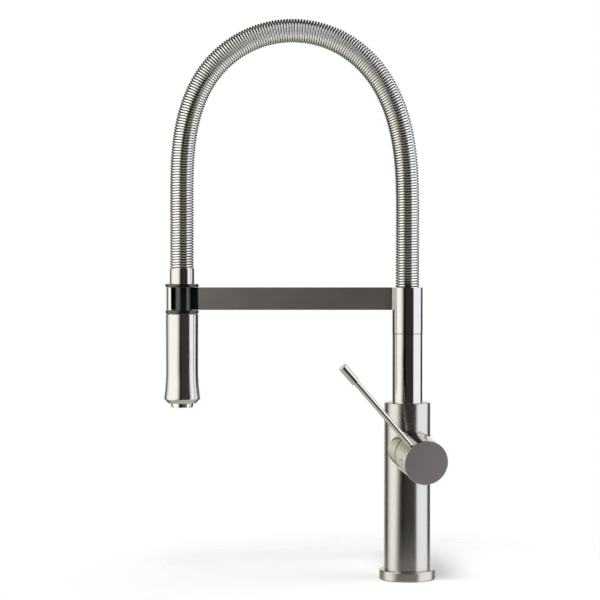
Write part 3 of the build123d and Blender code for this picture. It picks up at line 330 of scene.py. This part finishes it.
def startMaterial(name):
    # a new material, its tree, its Principled surface and the place on the piece
    material = bpy.data.materials.new(name)
    material.use_nodes = True
    tree = material.node_tree
    surface = tree.nodes["Principled BSDF"]
    place = addNode(tree, "TexCoord").outputs["Object"]
    return material, tree, surface, place


def endAlong(node, axis):
    # the furthest, in millimetres, that the piece reaches along the axis
    points = np.empty(len(node.data.vertices) * 3)
    node.data.vertices.foreach_get("co", points)
    return float((points.reshape(-1, 3) @ np.array(axis)).max()) / mm


# Stainless steel, finished on the lathe or with an abrasive belt. The finish is a
# band of fine parallel scratches, round the piece or along it, which blurs what the
# steel reflects and shows as faint lines. They are drawn coarser than the real grit
# leaves them, to show at all. A rough clear coat of the weight "haze" stands for the
# light that satin steel scatters, and veils the dark reflections a little. The part of
# a piece that lies in the "zone", past "from" along its axis, has a finish of its own.
# Sizes in millimetres.
steelFinishes = {
    "stainless_lathed_satin": {  # satin grain round the column
        "colour": "#c8c5be", "roughness": 0.21, "spread": 0.01, "relief": 0.0, "haze": 0.9,
        "axis": (0, 0, 1), "round": True, "lineWidth": 0.35, "lineLength": 60,
        "nodes": ["body_shell", "base_flange"],
    },
    "stainless_lathed_bright": {  # finer grain, so the light bands have sharper edges
        "colour": "#d3d1cd", "roughness": 0.10, "spread": 0.02, "relief": 0.05, "haze": 0.0,
        "axis": (0, 0, 1), "round": True, "lineWidth": 0.25, "lineLength": 60,
        "nodes": ["post_tube", "arm_sleeve", "spring_ferrule", "spring_seat"],
    },
    "stainless_lathed_fine": {  # between the two, on the spray head that the hand holds
        "colour": "#d3d1cd", "roughness": 0.10, "spread": 0.01, "relief": 0.0, "haze": 0.9,
        "axis": (0, 0, 1), "round": True, "lineWidth": 0.30, "lineLength": 60,
        "nodes": ["head_shell"],
    },
    "stainless_barrel_bright": {  # fine grain round the mixer barrel, and a blasted matt face
        "colour": "#d0cbbf", "roughness": 0.11, "spread": 0.02, "relief": 0.04, "haze": 0.0,
        "zone": {
            "axis": barrelAxis, "from": endAlong(nodes["handle_cap"], barrelAxis) - 0.3,
            "roughness": 0.50, "colour": "#b0a9ae",
        },
        "axis": barrelAxis, "round": True, "lineWidth": 0.30, "lineLength": 60,
        "nodes": ["valve_collar", "handle_cap"],
    },
    "stainless_belted_bar": {  # flat bar, drawn along an abrasive belt, and its polished clasp, lighter in colour as a painted highlight
        "colour": "#cfccc6", "roughness": 0.42, "spread": 0.05, "relief": 0.20, "haze": 0.2,
        # past 225.2 mm, on the clasp and its bevel, the lighter colour is painted highlight; the lower
        # roughness is the clasp's polish
        "zone": {"axis": (-1, 0, 0), "from": 225.2, "roughness": 0.12, "colour": "#e6e4df"},
        "axis": (1, 0, 0), "round": False, "lineWidth": 0.40, "lineLength": 30,
        "nodes": ["docking_arm"],
    },
    "stainless_ground_rod": {  # bright rod with the faint rings of centreless grinding
        "colour": "#d8d6d2", "roughness": 0.10, "spread": 0.03, "relief": 0.10, "haze": 0.0,
        "axis": leverAxis, "round": True, "lineWidth": 0.25, "lineLength": 20,
        "nodes": ["lever_rod", "handle_screw", "pivot_pin", "spigot_clip"],
    },
    "stainless_drawn_wire": {  # bright wire, with the long lines that the die leaves
        # The rim is the tint of what is mirrored at a shallow angle. It is darker than steel's own,
        # as painted shade: the dark outline that the spring shows and the studio doesn't give.
        "rim": "#3c3a36",
        "colour": "#f2f1ec", "roughness": 0.07, "spread": 0.02, "relief": 0.0, "haze": 0.0,
        "axis": (0, 0, 1), "round": True, "lineWidth": 0.5, "lineLength": 2,
        "nodes": ["spring"],
    },
}


def stainless(name, finish):
    handledPatch = 25 * mm  # size of the patches that hands and cloths leave
    handledSpread = 0.015  # of the roughness in them
    hazeRoughness = 0.5
    scratchDepth = 0.01 * mm
    zoneEdge = 0.1 * mm
    material, tree, surface, place = startMaterial(name)
    turn = Vector(finish["axis"]).rotation_difference(Vector((0, 0, 1))).to_euler()
    fine = 1 / (finish["lineWidth"] * mm)
    long = 1 / (finish["lineLength"] * mm)
    stretch = (long, long, fine) if finish["round"] else (fine, fine, long)
    turned = addNode(tree, "Mapping", {"Rotation": turn}, {"Vector": place})
    stretched = addNode(
        tree, "VectorMath", {"operation": "MULTIPLY", 1: stretch}, {0: turned.outputs[0]}
    )
    scratches = addNode(
        tree, "TexNoise", {"Scale": 1.0, "Detail": 4.0, "Roughness": 0.6},
        {"Vector": stretched.outputs[0]},
    )
    handling = addNode(tree, "TexNoise", {"Scale": 1 / handledPatch, "Detail": 2.0}, {"Vector": place})
    low = finish["roughness"] - finish["spread"]
    high = finish["roughness"] + finish["spread"]
    grain = addNode(tree, "MapRange", {**noiseSpan, 3: low, 4: high}, {0: scratches.outputs[0]})
    uneven = addNode(
        tree, "MapRange", {**noiseSpan, 3: -handledSpread, 4: handledSpread}, {0: handling.outputs[0]}
    )
    roughness = addNode(
        tree, "Math", {"operation": "ADD"}, {0: grain.outputs[0], 1: uneven.outputs[0]}
    )
    surface.inputs["Coat Weight"].default_value = finish["haze"]
    surface.inputs["Coat Roughness"].default_value = hazeRoughness
    surface.inputs["Metallic"].default_value = 1.0
    surface.inputs["Base Color"].default_value = linear(finish["colour"])
    # a dark rim tint, as on the spring's wire, is painted shade along the outline
    surface.inputs["Specular Tint"].default_value = linear(finish.get("rim", "#ffffff"))
    if "zone" in finish:
        zone = finish["zone"]
        along = addNode(tree, "VectorMath", {"operation": "DOT_PRODUCT", 1: zone["axis"]}, {0: place})
        inZone = addNode(
            tree, "MapRange", {1: zone["from"] * mm, 2: zone["from"] * mm + zoneEdge},
            {0: along.outputs["Value"]},
        )
        # on the barrel the zone's colour is the blasted face's own; on the arm's clasp its lighter colour
        # is painted highlight
        colour = addNode(
            tree, "Mix", {"data_type": "RGBA", 6: linear(finish["colour"]), 7: linear(zone["colour"])},
            {0: inZone.outputs[0]},
        )
        tree.links.new(colour.outputs[2], surface.inputs["Base Color"])
        rougher = zone["roughness"] - finish["roughness"]
        roughness = addNode(
            tree, "Math", {"operation": "MULTIPLY_ADD", 1: rougher},
            {0: inZone.outputs[0], 2: roughness.outputs[0]},
        )
    tree.links.new(roughness.outputs[0], surface.inputs["Roughness"])
    if finish["relief"]:
        relief = addNode(
            tree, "Bump", {"Strength": finish["relief"], "Distance": scratchDepth},
            {"Height": scratches.outputs[0]},
        )
        tree.links.new(relief.outputs[0], surface.inputs["Normal"])
    return material


# Other metals of the waterway and the nozzle, turned or drawn, then plated or bare.
otherMetals = {
    "chrome_plated_brass": {  # mirror bright, a little cool
        "colour": "#e3e4e6", "roughness": 0.05, "spread": 0.02, "nodes": ["nozzle_ring"],
    },
    "brass_turned": {  # yellow with fine tool marks
        "colour": "#d9bd7c", "roughness": 0.22, "spread": 0.06,
        "nodes": ["waterway_core", "outlet_spigot", "cartridge_nut", "cartridge_stem", "hose_base_nut",
                  "swivel_stem", "head_nut"],
    },
    "copper_drawn": {  # soft rosy tube, dulled by handling
        "colour": "#cf9277", "roughness": 0.28, "spread": 0.08,
        "nodes": ["hot_supply_tube", "cold_supply_tube", "riser_pipe"],
    },
}


def turnedMetal(name, finish):
    markSize = 1.5 * mm  # of the tool's marks, which vary the gloss
    material, tree, surface, place = startMaterial(name)
    marks = addNode(tree, "TexNoise", {"Scale": 1 / markSize, "Detail": 3.0}, {"Vector": place})
    low = finish["roughness"] - finish["spread"]
    high = finish["roughness"] + finish["spread"]
    roughness = addNode(tree, "MapRange", {**noiseSpan, 3: low, 4: high}, {0: marks.outputs[0]})
    surface.inputs["Metallic"].default_value = 1.0
    surface.inputs["Base Color"].default_value = linear(finish["colour"])
    tree.links.new(roughness.outputs[0], surface.inputs["Roughness"])
    return material


# Plastics, rubber, ceramic and enamel: each has the size of its grain in millimetres.
solidFinishes = {
    "acetal_black_and_painted_seam_shade": {  # deep black under a clear gloss; on the slip ring and the cartridge dome it is painted shade in the seam
        "colour": "#0b0b0d", "shade": "#141416", "roughness": 0.18, "spread": 0.03, "ior": 1.48,
        "gloss": 1.0, "grain": 0.6, "relief": 0.05,
        # slip_ring and cartridge_dome are drawn black as painted shade: they darken the seam between the
        # valve collar and the handle cap
        "nodes": ["dock_spool", "clasp_liner", "slip_ring", "cartridge_dome"],
    },
    "acetal_turned_natural": {  # milky white, faintly waxy
        "colour": "#dedcd2", "shade": "#d2d0c6", "roughness": 0.38, "spread": 0.05, "ior": 1.48,
        "grain": 0.8, "relief": 0.05,
        "nodes": ["lower_bush", "upper_bush", "cartridge_driver", "disc_carrier", "flow_former"],
    },
    "nylon_moulded_grey": {  # glass-filled, with a matt fibre grain
        "colour": "#5f6163", "shade": "#56585a", "roughness": 0.55, "spread": 0.08, "ior": 1.53,
        "grain": 0.5, "relief": 0.25,
        "nodes": ["cartridge_body", "cartridge_base", "head_channel", "check_valve"],
    },
    "alumina_ground": {  # dense white ceramic, ground flat
        "colour": "#eeece6", "shade": "#e6e4de", "roughness": 0.18, "spread": 0.04, "ior": 1.77,
        "grain": 0.3, "relief": 0.02, "nodes": ["fixed_disc", "sliding_disc"],
    },
    "nitrile_moulded_black": {  # dull black rubber
        "colour": "#161617", "shade": "#202021", "roughness": 0.65, "spread": 0.08, "ior": 1.52,
        "grain": 0.7, "relief": 0.20,
        "nodes": ["base_seal", "spigot_orings", "cartridge_seals", "swivel_oring", "nozzle_washer"],
    },
    "silicone_moulded_grey": {  # soft grey jets
        "colour": "#6d7073", "shade": "#64676a", "roughness": 0.50, "spread": 0.05, "ior": 1.41,
        "grain": 0.8, "relief": 0.10, "nodes": ["spray_face"],
    },
    "enamel_fired_blue": {  # small dot with a soft gloss
        "colour": "#16247c", "shade": "#12206c", "roughness": 0.45, "spread": 0.03, "ior": 1.50,
        "grain": 0.4, "relief": 0.02, "nodes": ["cold_mark"],
    },
    "enamel_fired_red": {  # the same in red
        "colour": "#b0241c", "shade": "#9c1f18", "roughness": 0.45, "spread": 0.03, "ior": 1.50,
        "grain": 0.4, "relief": 0.02, "nodes": ["hot_mark"],
    },
}


def mouldedSolid(name, finish):
    cloudSize = 12 * mm  # of the patches between the two shades
    grainDepth = 0.05 * mm
    glossRoughness = 0.12
    material, tree, surface, place = startMaterial(name)
    grain = addNode(
        tree, "TexNoise", {"Scale": 1 / (finish["grain"] * mm), "Detail": 3.0}, {"Vector": place}
    )
    clouds = addNode(tree, "TexNoise", {"Scale": 1 / cloudSize, "Detail": 2.0}, {"Vector": place})
    colour = addNode(
        tree, "Mix", {"data_type": "RGBA", 6: linear(finish["colour"]), 7: linear(finish["shade"])},
        {0: clouds.outputs[0]},
    )
    low = finish["roughness"] - finish["spread"]
    high = finish["roughness"] + finish["spread"]
    roughness = addNode(tree, "MapRange", {**noiseSpan, 3: low, 4: high}, {0: grain.outputs[0]})
    relief = addNode(
        tree, "Bump", {"Strength": finish["relief"], "Distance": grainDepth}, {"Height": grain.outputs[0]}
    )
    surface.inputs["IOR"].default_value = finish["ior"]
    surface.inputs["Coat Weight"].default_value = finish.get("gloss", 0.0)
    surface.inputs["Coat Roughness"].default_value = glossRoughness
    tree.links.new(colour.outputs[2], surface.inputs["Base Color"])
    tree.links.new(roughness.outputs[0], surface.inputs["Roughness"])
    tree.links.new(relief.outputs[0], surface.inputs["Normal"])
    return material


# Hose and its jacket: a dark polyester braid, dull, with two sets of strands that cross
# each other. It gives the dark gaps between the turns of the spring.
hoseFinish = {
    "colour": "#1b1b1c", "strand": "#3a3a3b", "roughness": 0.6,
    "strandWidth": 0.9,  # in millimetres
    "strandLean": 45,  # in degrees
    "relief": 0.5, "nodes": ["hose"],
}


def braidedHose(name, finish):
    strandDepth = 0.2 * mm
    material, tree, surface, place = startMaterial(name)
    waves = []
    for lean in (radians(finish["strandLean"]), -radians(finish["strandLean"])):
        turned = addNode(tree, "Mapping", {"Rotation": (0, lean, 0)}, {"Vector": place})
        waves.append(addNode(
            tree, "TexWave", {"Scale": 1 / (finish["strandWidth"] * mm * 2 * pi), "Distortion": 0.3},
            {"Vector": turned.outputs[0]},
        ))
    crossing = addNode(
        tree, "Math", {"operation": "MULTIPLY"},
        {0: waves[0].outputs["Fac"], 1: waves[1].outputs["Fac"]},
    )
    colour = addNode(
        tree, "Mix", {"data_type": "RGBA", 6: linear(finish["colour"]), 7: linear(finish["strand"])},
        {0: crossing.outputs[0]},
    )
    relief = addNode(
        tree, "Bump", {"Strength": finish["relief"], "Distance": strandDepth},
        {"Height": crossing.outputs[0]},
    )
    surface.inputs["Roughness"].default_value = finish["roughness"]
    tree.links.new(colour.outputs[2], surface.inputs["Base Color"])
    tree.links.new(relief.outputs[0], surface.inputs["Normal"])
    return material


materials = {}
makers = (
    (stainless, steelFinishes), (turnedMetal, otherMetals), (mouldedSolid, solidFinishes),
    (braidedHose, {"hose_braided": hoseFinish}),
)
for maker, finishes in makers:
    for name, finish in finishes.items():
        materials[name] = maker(name, finish)
        for node in finish["nodes"]:
            nodes[node].data.materials.clear()
            nodes[node].data.materials.append(materials[name])
print("made", len(materials), "finishes")


# Spring: one bright wire wound round the hose from the seat in the arm's sleeve to
# the ferrule, close on the straight legs and opened a little round the bend's outside.
coil = {
    "wire": 2.3 * mm,
    "turns": 234,
    "pointsPerTurn": 28,
    "sides": 10,
    "legAboveArm": 73.1 * mm,
    "easeIn": radians(48.5),  # turn made while the bend tightens from straight
    "easeOut": radians(38.0),
    "sunk": 2.0 * mm,  # of the last turn in the ferrule
    "clearance": 0.05 * mm,  # inside the CAD spring's sides
    "routeSteps": 6000,
    "slot": "steel_spring",
}


def tubeMesh(name, rings, material):
    # rings is stations x sides x 3: faces join neighbours, and a fan closes each end ring
    stations, sides = rings.shape[:2]
    count = stations * sides
    corners = np.arange(count).reshape(stations, sides)
    beside = np.roll(corners, -1, axis=1)
    quads = np.stack([corners[:-1], beside[:-1], beside[1:], corners[1:]], axis=-1).reshape(-1, 4)
    firstFan = np.stack([beside[0], corners[0], np.full(sides, count)], axis=-1)
    lastFan = np.stack([corners[-1], beside[-1], np.full(sides, count + 1)], axis=-1)
    points = np.vstack([rings.reshape(-1, 3), rings[0].mean(0), rings[-1].mean(0)])
    mesh = bpy.data.meshes.new(name)
    mesh.from_pydata(points, [], [*quads.tolist(), *firstFan.tolist(), *lastFan.tolist()])
    mesh.polygons.foreach_set("use_smooth", np.ones(len(mesh.polygons), bool))
    mesh.materials.append(material)
    piece = bpy.data.objects.new(name, mesh)
    bpy.context.scene.collection.objects.link(piece)
    return piece


def springRoute(seatTop, archStart, ferruleTop, reach):
    # The bend's curvature rises evenly from nothing, holds, and falls evenly to nothing.
    # Heading is its running sum, and the route is the running sum of the heading's
    # sine and cosine, all scaled so that the arch spans the reach. Returned as arrays of
    # the distance along the route, the heading, x and z.
    easeIn, easeOut = coil["easeIn"], coil["easeOut"]
    archTurns = pi + easeIn + easeOut

    def run(s):
        ramps = [s / (2 * easeIn), np.ones_like(s), (archTurns - s) / (2 * easeOut)]
        curvature = np.clip(np.min(ramps, axis=0), 0, 1)
        step = s[1] - s[0]
        middles = (curvature[1:] + curvature[:-1]) / 2 * step
        heading = np.concatenate([[0], np.cumsum(middles)])
        half = (heading[1:] + heading[:-1]) / 2
        x = np.concatenate([[0], np.cumsum(-np.sin(half) * step)])
        z = np.concatenate([[0], np.cumsum(np.cos(half) * step)])
        return heading, x, z

    unit = run(np.linspace(0, archTurns, coil["routeSteps"]))
    radius = reach / -unit[1][-1]
    endDrop = (archStart + unit[2][-1] * radius - ferruleTop) / radius
    s = np.linspace((seatTop - archStart) / radius, archTurns + endDrop, coil["routeSteps"])
    heading, x, z = run(s)
    return (s - s[0]) * radius, heading, x * radius, z * radius + seatTop


def followRoute(route, count):
    # evenly spaced points of the route, from half a wire inside one end to half a wire
    # inside the other, and at each the way out of the bend: the heading's cosine in x
    # and its sine in z
    along, heading, x, z = route
    wireRadius = coil["wire"] / 2
    place = np.linspace(wireRadius, along[-1] - wireRadius, count)
    lean = np.interp(place, along, heading)
    flat = np.zeros(count)
    centre = np.stack([np.interp(place, along, x), flat, np.interp(place, along, z)], axis=1)
    outward = np.stack([np.cos(lean), flat, np.sin(lean)], axis=1)
    return centre, outward


def windSpring(route):
    # A point of the wire's middle is the route's point plus the coil's radius times
    # (cosine of the turn) outwards and (sine of the turn) sideways. Round it the wire's
    # section is a circle across the wire's own direction.
    wireRadius = coil["wire"] / 2
    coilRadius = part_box("spring")[1].y - wireRadius - coil["clearance"]
    stations = coil["turns"] * coil["pointsPerTurn"] + 1
    centre, outward = followRoute(route, stations)
    turn = np.linspace(0, 2 * pi * coil["turns"], stations)[:, None]
    radial = outward * np.cos(turn) + sideways * np.sin(turn)
    middle = centre + radial * coilRadius
    ahead = np.gradient(middle, axis=0)
    ahead /= np.linalg.norm(ahead, axis=1)[:, None]
    level = np.cross(ahead, radial)
    level /= np.linalg.norm(level, axis=1)[:, None]
    upright = np.cross(level, ahead)
    corner = np.linspace(0, 2 * pi, coil["sides"], endpoint=False)[:, None]
    section = upright[:, None] * np.cos(corner) + level[:, None] * np.sin(corner)
    rings = middle[:, None] + section * wireRadius
    spring = tubeMesh("spring_wound", rings, materials["stainless_drawn_wire"])
    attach(spring, "spout")
    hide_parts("spring")


sideways = np.array([0, 1, 0])
route = springRoute(
    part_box("spring_seat")[1].z,
    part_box("arm_sleeve")[1].z + coil["legAboveArm"],
    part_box("spring_ferrule")[1].z - coil["sunk"],
    -headAxis.x,
)
windSpring(route)
print("spring wound with", coil["turns"], "turns")

# Jacket: the hose's loose braid, which fills the spring.
jacket = {
    "radius": 9.7 * mm,
    "sides": 32,
    "ringsPerTurn": 2,  # for each turn of the spring
    "slot": "hose_braid",
}


def sleeveHose(route):
    # A ring's point is the route's point plus the radius times (cosine of its corner)
    # outwards and (sine of its corner) sideways.
    centre, outward = followRoute(route, coil["turns"] * jacket["ringsPerTurn"] + 1)
    corner = np.linspace(0, 2 * pi, jacket["sides"], endpoint=False)[:, None]
    section = outward[:, None] * np.cos(corner) + sideways * np.sin(corner)
    rings = centre[:, None] + section * jacket["radius"]
    sleeve = tubeMesh("hose_jacket", rings, materials["hose_braided"])
    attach(sleeve, "spout")


sleeveHose(route)
print("hose sleeved in its jacket")
